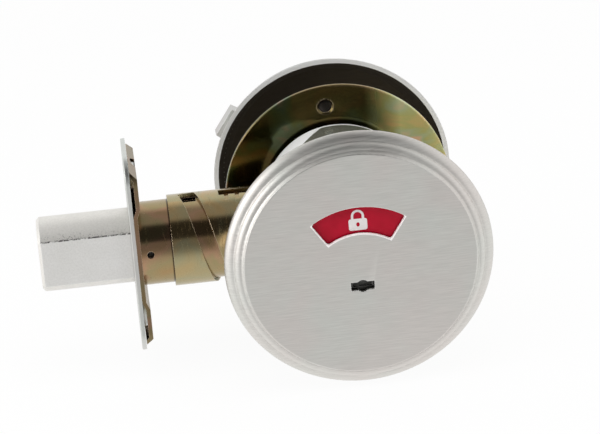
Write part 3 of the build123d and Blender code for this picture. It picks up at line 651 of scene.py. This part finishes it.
def grainy_metal(name, dark, light, roughness, grain_size, depth, metallic=1.0):
    material, tree, shader, edges = new_material(
        name, edge_radius=0.25, roughness=roughness, metallic=metallic
    )
    point = object_point(tree)
    grain_value = noise(tree, point, grain_size, detail=4.0, roughness=0.7)
    drift = noise(tree, point, 70.0, detail=2.0)
    colour = ramp(tree, grain_value, (0.32, dark), (0.66, light))
    shade = ramp(tree, drift, (0.3, (0.93, 0.93, 0.92, 1)), (0.7, (1, 1, 1, 1)))
    colour = mix_colour(tree, 1.0, colour, shade, "MULTIPLY")
    # Painted highlight: the colour turns pale along the edges.
    at_edge = math(tree, "MULTIPLY", edges.outputs["Edge"], 0.4)
    edge_lit = mix_colour(tree, at_edge, colour, (0.88, 0.88, 0.87, 1))
    rough = remap(tree, grain_value, 0.3, 0.7, roughness + 0.06, roughness - 0.06)
    normal = bump(tree, grain_value, edges.outputs["Normal"], depth)
    feed(tree, shader, Base_Color=edge_lit, Roughness=rough, Normal=normal)
    return material


bolt_plating = grainy_metal(
    "bolt_plating", (0.86, 0.85, 0.83, 1), (0.95, 0.94, 0.92, 1), 0.48, 1900.0, 0.02, metallic=0.80
)
# The hub's green-yellow colour is a painted reflection of the gold plate.
bright_hub = grainy_metal("bright_hub", (0.71, 0.74, 0.62, 1), (0.77, 0.80, 0.68, 1), 0.13, 500.0, 0.002)
dull_zinc = grainy_metal("dull_zinc", (0.52, 0.52, 0.50, 1), (0.66, 0.66, 0.64, 1), 0.30, 1500.0, 0.008)
clear_zinc = grainy_metal("clear_zinc", (0.55, 0.55, 0.56, 1), (0.66, 0.66, 0.67, 1), 0.34, 2200.0, 0.006)
# Painted shade: the plug is nearly black so that the slot looks dark.
shaded_plug = grainy_metal("shaded_plug", (0.06, 0.06, 0.06, 1), (0.12, 0.12, 0.11, 1), 0.40, 2200.0, 0.01)
dress(bolt_plating, "bolt_head")
dress(bright_hub, "outside_housing")
dress(dull_zinc, "indicator_disc", "cam_hub")
dress(
    clear_zinc, "mounting_screws", "draw_bar", "draw_pin", "crank_pin", "tailpiece", "saw_guard_pins",
    "emergency_clip", "thumbturn_clip", "thumbturn_washer",
)
dress(shaded_plug, "emergency_turn")

# %% [markdown]
# The housing's bright plating covers its round hub. Its flange sits inside the front disc, out of
# sight and unpolished, so rougher, and is painted dark, a painted shade, which also keeps the gold
# plate that mirrors it dark. The hub's last edge, next to the gold plate, is painted as a pale dull
# line, partly rubbing and partly a painted highlight, which widens to the left, where the light
# comes from.

# %% The housing's shaded flange and its pale end
hub_radius, hub_end = 21.4 * mm, high("outside_housing").y
rubbed_and_lit_width, rubbed_and_lit_fade, most_lit_widening = 1.5 * mm, 0.6 * mm, 10 * mm
tree = bright_hub.node_tree
shader = tree.nodes["Principled BSDF"]
plated = shader.inputs["Base Color"].links[0].from_socket
rough = shader.inputs["Roughness"].links[0].from_socket
point = separate_point(tree)
flange = math(tree, "GREATER_THAN", trim_distance(tree, point), hub_radius + 0.3 * mm)
# The pale line widens to the left, a painted highlight where the light comes from.
widening = remap(tree, point["X"], trim_x - 4 * mm, trim_x - 14 * mm, 0.0, most_lit_widening)
line_start = math(tree, "SUBTRACT", hub_end - rubbed_and_lit_width, widening)
# Pale dull line along the hub's end: rubbing and a painted highlight.
rubbed = remap(tree, math(tree, "SUBTRACT", point["Y"], line_start), 0.0, rubbed_and_lit_fade, 0.0, 1.0)
# Painted shade: the flange is painted dark.
shaded_flange = mix_colour(tree, flange, plated, (0.06, 0.055, 0.048, 1))
rough = math(tree, "ADD", rough, math(tree, "MULTIPLY", flange, 0.45))
rough = math(tree, "ADD", rough, math(tree, "MULTIPLY", rubbed, 0.3))
feed(
    tree, shader, Base_Color=mix_colour(tree, rubbed, shaded_flange, (0.97, 0.97, 0.96, 1)),
    Roughness=rough, Metallic=math(tree, "SUBTRACT", 0.88, math(tree, "MULTIPLY", rubbed, 0.63)),
)
print("hub ends at Y", round(hub_end / mm, 2))

# %% [markdown]
# The round top of the bolt is a little darker than its flat sides, and the edge where the round
# top meets a flat side is a ragged dark line with specks above it. Object coordinates say how far
# a point is from that edge, and two noises break the line up and scatter the specks.

# %% Ragged line along the bolt's long edges
flat_half, edge_height = 7.95 * mm, 6.55 * mm
line_half, specks_height = 0.30 * mm, 1.9 * mm
tree = bolt_plating.node_tree
shader = tree.nodes["Principled BSDF"]
plated = shader.inputs["Base Color"].links[0].from_socket
point = separate_point(tree)
side = math(tree, "ABSOLUTE", point["Y"])
above = math(tree, "SUBTRACT", point["Z"], edge_height)
off_edge = length_of(tree, math(tree, "SUBTRACT", side, flat_half), above)
near_edge = remap(tree, off_edge, line_half, line_half * 0.4, 0.0, 1.0)
coarse = noise(tree, object_point(tree), 1300.0, detail=3.0, roughness=0.7)
ragged = math(tree, "MULTIPLY", near_edge, remap(tree, coarse, 0.42, 0.54, 0.0, 1.0))
fine = noise(tree, object_point(tree), 2100.0, detail=2.0, roughness=0.6)
specks = remap(tree, fine, 0.60, 0.66, 0.0, 0.7)
beside_line = remap(tree, above, 0.0, specks_height, 1.0, 0.0)
on_round = math(tree, "MULTIPLY", math(tree, "GREATER_THAN", above, 0.05 * mm), beside_line)
marked = math(tree, "MAXIMUM", ragged, math(tree, "MULTIPLY", specks, on_round))
# The round top is a little darker than the flat sides.
on_flat_side = math(tree, "GREATER_THAN", side, flat_half - 0.05 * mm)
tone = mix_colour(tree, on_flat_side, (0.93, 0.92, 0.90, 1), (1.0, 1.0, 1.0, 1))
plated = mix_colour(tree, 1.0, plated, tone, "MULTIPLY")
feed(tree, shader, Base_Color=mix_colour(tree, marked, plated, (0.07, 0.065, 0.06, 1)))
print("ragged line", round(edge_height / mm, 2), "mm from the bolt's middle")

# %% [markdown]
# ## Labels behind the window
#
# The indicator disc carries two thin printed labels, red for taken and green for free. Printed ink
# has an even colour and a soft gloss, with a faint orange-peel that a fine bump gives. The marks
# printed on them are plain padlocks, shut on the red and open on the green.

# %% Label colours


def printed_ink(name, deep, bright, roughness=0.32):
    material, tree, shader, edges = new_material(
        name, roughness=roughness, metallic=0.0, edge_radius=0.05, Specular_IOR_Level=0.16
    )
    point = object_point(tree)
    ripple = noise(tree, point, 1400.0, detail=1.0)
    drift = noise(tree, point, 160.0, detail=2.0)
    colour = ramp(tree, drift, (0.35, deep), (0.65, bright))
    normal = bump(tree, ripple, edges.outputs["Normal"], 0.002)
    rough = remap(tree, drift, 0.3, 0.7, roughness - 0.04, roughness + 0.05)
    feed(tree, shader, Base_Color=colour, Roughness=rough, Normal=normal)
    return material


red_ink = printed_ink("red_ink", (0.42, 0.003, 0.020, 1), (0.49, 0.004, 0.026, 1))
green_ink = printed_ink("green_ink", (0.015, 0.22, 0.07, 1), (0.02, 0.27, 0.09, 1))
white_ink = printed_ink("white_ink", (0.80, 0.76, 0.75, 1), (0.86, 0.83, 0.82, 1))
dress(red_ink, "occupied_label")
dress(green_ink, "vacant_label")

# %% [markdown]
# A padlock needs only a rounded body, a bowed shackle and a keyhole. Each is a flat outline made by
# bmesh: a bevelled rectangle for the body, and a spun edge for the shackle. The layer of ink is
# given a thickness at the end, so that it stands on the label. The mark is drawn upright about the
# origin, in X and Z, and one matrix then carries it to its label.

# %% Padlock marks
ink_height = 0.05 * mm
body_width, body_height, body_corner = 5.0 * mm, 3.3 * mm, 0.6 * mm
shackle_radius, shackle_width, leg, open_lift = 1.45 * mm, 0.65 * mm, 0.8 * mm, 0.7 * mm
keyhole_radius, keyhole_height = 0.46 * mm, 1.35
mark_radius = 18.6 * mm
mark_centre = (leg + shackle_radius + shackle_width / 2) / 2


def flat_body(mesh):
    """Rounded rectangle with a keyhole: two closed outlines, and the sheet filled between them."""
    made = bmesh.ops.create_grid(mesh, x_segments=1, y_segments=1, size=0.5)
    bmesh.ops.scale(mesh, verts=made["verts"], vec=(body_width, body_height, 1))
    bmesh.ops.bevel(
        mesh, geom=made["verts"], offset=body_corner, affect="VERTICES", segments=6,
        profile=0.5, material=-1,
    )
    bmesh.ops.delete(mesh, geom=mesh.faces[:], context="FACES_ONLY")
    keyhole = bmesh.ops.create_circle(mesh, segments=20, radius=keyhole_radius)
    bmesh.ops.scale(mesh, verts=keyhole["verts"], vec=(1, keyhole_height, 1))
    bmesh.ops.triangle_fill(mesh, edges=mesh.edges[:], use_beauty=True, normal=(0, 0, 1))
    bmesh.ops.rotate(mesh, verts=mesh.verts[:], matrix=Matrix.Rotation(pi / 2, 3, "X"))


def shackle(mesh, lift, one_leg_free):
    """Half ring on two legs, on the body's top edge. Lifted, one leg stands clear of the body."""
    base = body_height / 2 + lift + leg
    first = mesh.verts.new((shackle_radius - shackle_width / 2, 0, base))
    second = mesh.verts.new((shackle_radius + shackle_width / 2, 0, base))
    edge = mesh.edges.new((first, second))
    spun = bmesh.ops.spin(
        mesh, geom=[edge, first, second], cent=(0, 0, base), axis=(0, 1, 0), angle=-pi, steps=16,
        use_merge=False,
    )
    last = [g for g in spun["geom_last"] if isinstance(g, bmesh.types.BMEdge)][0]
    for end_edge, length in ((edge, leg + (0 if one_leg_free else lift)), (last, leg + lift)):
        grown = bmesh.ops.extrude_edge_only(mesh, edges=[end_edge])
        moved = [g for g in grown["geom"] if isinstance(g, bmesh.types.BMVert)]
        bmesh.ops.translate(mesh, verts=moved, vec=(0, 0, -length))


def padlock_mark(name, place, turn, open_shackle):
    mesh = bmesh.new()
    flat_body(mesh)
    shackle(mesh, lift=open_lift if open_shackle else 0.0, one_leg_free=open_shackle)
    bmesh.ops.remove_doubles(mesh, verts=mesh.verts, dist=0.001 * mm)
    bmesh.ops.recalc_face_normals(mesh, faces=mesh.faces)
    bmesh.ops.solidify(mesh, geom=mesh.faces, thickness=ink_height)
    bmesh.ops.translate(mesh, verts=mesh.verts, vec=(0, 0, -mark_centre))
    carry = Matrix.Translation(place) @ Matrix.Rotation(turn, 4, "Y")
    bmesh.ops.transform(mesh, matrix=carry, verts=mesh.verts)
    bmesh.ops.recalc_face_normals(mesh, faces=mesh.faces)
    data = bpy.data.meshes.new(name)
    mesh.to_mesh(data)
    mesh.free()
    piece = bpy.data.objects.new(name, data)
    bpy.context.scene.collection.objects.link(piece)
    data.materials.append(white_ink)
    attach(piece, "turn")
    print(name, "has", len(data.polygons), "faces")
    return piece


ink_y = low("occupied_label").y - ink_height * 0.4
occupied_mark = padlock_mark(
    "occupied_mark", Vector((spindle.x, ink_y, spindle.z + mark_radius)), 0.0, open_shackle=False
)
vacant_mark = padlock_mark(
    "vacant_mark", Vector((spindle.x - mark_radius, ink_y, spindle.z)), -pi / 2, open_shackle=True
)

# %% [markdown]
# ## Studio
#
# The lock lies before a white sweep. Polished metal shows the room more than itself, and in the
# photograph every round piece carries the same bands: pale along its top, a sharp dark band at the
# height of the camera, where the room behind the camera is unlit, and pale again below from the
# table. So the room is painted in strips that run along X, by the angle from straight up towards
# the viewer. The camera itself sees plain white.

# %% World
world = bpy.data.worlds.new("studio")
bpy.context.scene.world = world
world.use_nodes = True
room = world.node_tree
room.nodes.clear()
direction = add_node(room, "ShaderNodeTexCoord")
split = add_node(room, "ShaderNodeSeparateXYZ")
room.links.new(direction.outputs["Generated"], split.inputs["Vector"])
forward = math(room, "MULTIPLY", split.outputs["Y"], -1.0)
tilt = math(room, "ARCTAN2", forward, split.outputs["Z"])
# Angle in degrees from straight up, towards the viewer, and how bright the room is there.
strips = (
    (-180, 0.95), (-110, 0.90), (-90, 0.95), (-72, 1.00), (-42, 1.00), (-30, 0.70), (-20, 0.42),
    (15, 0.40), (20, 0.20), (25, 0.04), (65, 0.04), (70, 0.25), (86, 0.25), (100, 0.40),
    (115, 0.74), (130, 0.88), (180, 0.95),
)
room_strips = ramp(
    room,
    remap(room, tilt, -pi, pi, 0.0, 1.0),
    *[((angle + 180) / 360, (level, level, level, 1)) for angle, level in strips],
)
sideways = math(room, "ABSOLUTE", split.outputs["X"])
side_walls = remap(room, sideways, 0.45, 0.70, 0.0, 1.0)
around = mix_colour(room, side_walls, room_strips, (0.95, 0.95, 0.95, 1))
ray = add_node(room, "ShaderNodeLightPath")
seen = mix_colour(room, ray.outputs["Is Camera Ray"], around, (1, 1, 1, 1))
sky = add_node(room, "ShaderNodeBackground")
room.links.new(seen, sky.inputs["Color"])
out = add_node(room, "ShaderNodeOutputWorld")
room.links.new(sky.outputs["Background"], out.inputs["Surface"])
print("room painted in", len(strips), "strips")

# %% [markdown]
# The floor is a large pale sheet just under the lock. It is mostly its own white, as an overlit
# studio sweep is, and the rest is a plain dull white that still takes the lock's soft shadow.

# %% Floor
floor_mesh = bmesh.new()
bmesh.ops.create_grid(floor_mesh, x_segments=1, y_segments=1, size=2.5)
bmesh.ops.translate(floor_mesh, verts=floor_mesh.verts, vec=(0, 0, cad_low[2]))
floor_data = bpy.data.meshes.new("floor")
floor_mesh.to_mesh(floor_data)
floor_mesh.free()
floor = bpy.data.objects.new("floor", floor_data)
bpy.context.scene.collection.objects.link(floor)
sweep = bpy.data.materials.new("white_sweep")
sweep.use_nodes = True
tree = sweep.node_tree
tree.nodes.clear()
dull = add_node(tree, "ShaderNodeBsdfDiffuse")
dull.inputs["Color"].default_value = (0.82, 0.82, 0.81, 1)
glow = add_node(tree, "ShaderNodeEmission")
glow.inputs["Strength"].default_value = 1.0
ray = add_node(tree, "ShaderNodeLightPath")
seen_by = math(tree, "MAXIMUM", ray.outputs["Is Camera Ray"], ray.outputs["Is Glossy Ray"])
share = math(tree, "MULTIPLY", seen_by, 0.94)
both = add_node(tree, "ShaderNodeMixShader")
tree.links.new(share, both.inputs["Fac"])
tree.links.new(dull.outputs["BSDF"], both.inputs[1])
tree.links.new(glow.outputs["Emission"], both.inputs[2])
out = add_node(tree, "ShaderNodeOutputMaterial")
tree.links.new(both.outputs["Shader"], out.inputs["Surface"])
floor_data.materials.append(sweep)
floor.visible_glossy = False
floor.visible_shadow = False
print("floor at Z", round(cad_low[2] / mm, 2))

# %% [markdown]
# Two soft boxes give the dull surfaces, such as the labels and the floor, light with a direction.
# The metal's own bands come from the painted room, so the one above is left out of reflections.
# The one on the left is kept in them: it draws the broad white line along the disc's bead.

# %% Soft boxes


def soft_box(name, place, size, power, reflected=False):
    light = bpy.data.lights.new(name, "AREA")
    light.shape = "RECTANGLE"
    light.size, light.size_y = size
    light.energy = power
    lamp = bpy.data.objects.new(name, light)
    lamp.location = place
    lamp.rotation_euler = (middle("rear_case") - Vector(place)).to_track_quat("-Z", "Y").to_euler()
    lamp.visible_glossy = reflected
    bpy.context.scene.collection.objects.link(lamp)
    print(name, power, "W")


soft_box("above", (0.05, -0.25, 0.75), (0.8, 0.6), 4.5)
soft_box("left", (-0.75, -0.25, 0.25), (0.5, 0.6), 2.0, reflected=True)

# %% [markdown]
# ## Camera
#
# The camera was found from the photograph's own circles and straight edges, set against the sizes
# of the lock. It stands about 0.8 m away with a long lens, a little to the left and above, and is
# rolled a few degrees.

# %% Camera
camera_turn, camera_rise, camera_roll = radians(-4.1), radians(22.406), radians(-4.647)
distance, aim_right, aim_up = 0.7992, 0.013265, -0.001059
focal_pixels, picture_width = 2881.0, 600

back = Vector((sin(camera_turn) * cos(camera_rise), -cos(camera_turn) * cos(camera_rise), sin(camera_rise)))
level = Vector((cos(camera_turn), sin(camera_turn), 0))
upright = back.cross(level)
right = cos(camera_roll) * level + sin(camera_roll) * upright
up = cos(camera_roll) * upright - sin(camera_roll) * level
place = Vector((trim_x, 0, 0)) + back * distance - right * aim_right - up * aim_up

lens = bpy.data.cameras.new("camera")
lens.sensor_width = 36
lens.lens = focal_pixels / picture_width * lens.sensor_width
camera = bpy.data.objects.new("camera", lens)
camera.matrix_world = Matrix.Translation(place) @ Matrix((right, up, back)).transposed().to_4x4()
bpy.context.scene.collection.objects.link(camera)
bpy.context.scene.camera = camera
bpy.context.scene.view_settings.view_transform = "Standard"
print("camera at", [round(v, 3) for v in place], "lens", round(lens.lens, 1), "mm")

# %% Finish
print("done")
